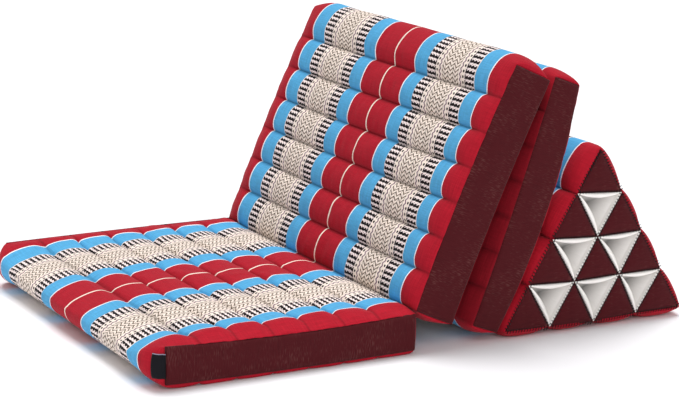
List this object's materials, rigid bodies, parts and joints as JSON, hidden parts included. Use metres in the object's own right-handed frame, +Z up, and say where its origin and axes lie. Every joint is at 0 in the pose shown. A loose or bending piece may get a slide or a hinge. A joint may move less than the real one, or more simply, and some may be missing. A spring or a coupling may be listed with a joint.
{
  "type": "thai triangle cushion",
  "caption": "Quilted fold-out floor cushion: a flat seat mat, back mats that stand behind it, and a triangle bolster they lean on.",
  "frame": {"origin": "under the middle of the whole cushion, on the surface it rests on", "axes": "+X from the seat's front end to the bolster's back, +Y across the width to the far side, +Z up"},
  "size_m": [1.1556, 0.8, 0.5432],
  "materials": {
    "striped_cover": "matt woven cotton with red, blue and cream patterned stripes",
    "side_cloth": "matt maroon cotton with slubs",
    "pocket_cloth": "matt cream cotton",
    "tab_tape": "plain black woven tape"
  },
  "bodies": {
    "root": {"end_panel_far_01": "side_cloth", "end_panel_far_02": "side_cloth", "end_panel_far_03": "side_cloth", "end_panel_far_04": "side_cloth", "end_panel_far_05": "side_cloth", "end_panel_far_06": "side_cloth", "end_panel_far_07": "side_cloth", "end_panel_far_08": "side_cloth", "end_panel_far_09": "side_cloth", "end_panel_far_10": "side_cloth", "end_panel_near_01": "side_cloth", "end_panel_near_02": "side_cloth", "end_panel_near_03": "side_cloth", "end_panel_near_04": "side_cloth", "end_panel_near_05": "side_cloth", "end_panel_near_06": "side_cloth", "end_panel_near_07": "side_cloth", "end_panel_near_08": "side_cloth", "end_panel_near_09": "side_cloth", "end_panel_near_10": "side_cloth", "front_back_mat": "striped_cover", "front_back_mat_gusset_far": "side_cloth", "front_back_mat_gusset_near": "side_cloth", "pocket_liner_far_1": "pocket_cloth", "pocket_liner_far_2": "pocket_cloth", "pocket_liner_far_3": "pocket_cloth", "pocket_liner_far_4": "pocket_cloth", "pocket_liner_far_5": "pocket_cloth", "pocket_liner_far_6": "pocket_cloth", "pocket_liner_near_1": "pocket_cloth", "pocket_liner_near_2": "pocket_cloth", "pocket_liner_near_3": "pocket_cloth", "pocket_liner_near_4": "pocket_cloth", "pocket_liner_near_5": "pocket_cloth", "pocket_liner_near_6": "pocket_cloth", "rear_back_mat": "striped_cover", "rear_back_mat_gusset_far": "side_cloth", "rear_back_mat_gusset_near": "side_cloth", "seat_mat": "striped_cover", "seat_mat_gusset_far": "side_cloth", "seat_mat_gusset_near": "side_cloth", "sewn_tab": "tab_tape", "triangle_bolster": "striped_cover"}
  },
  "joints": []
}
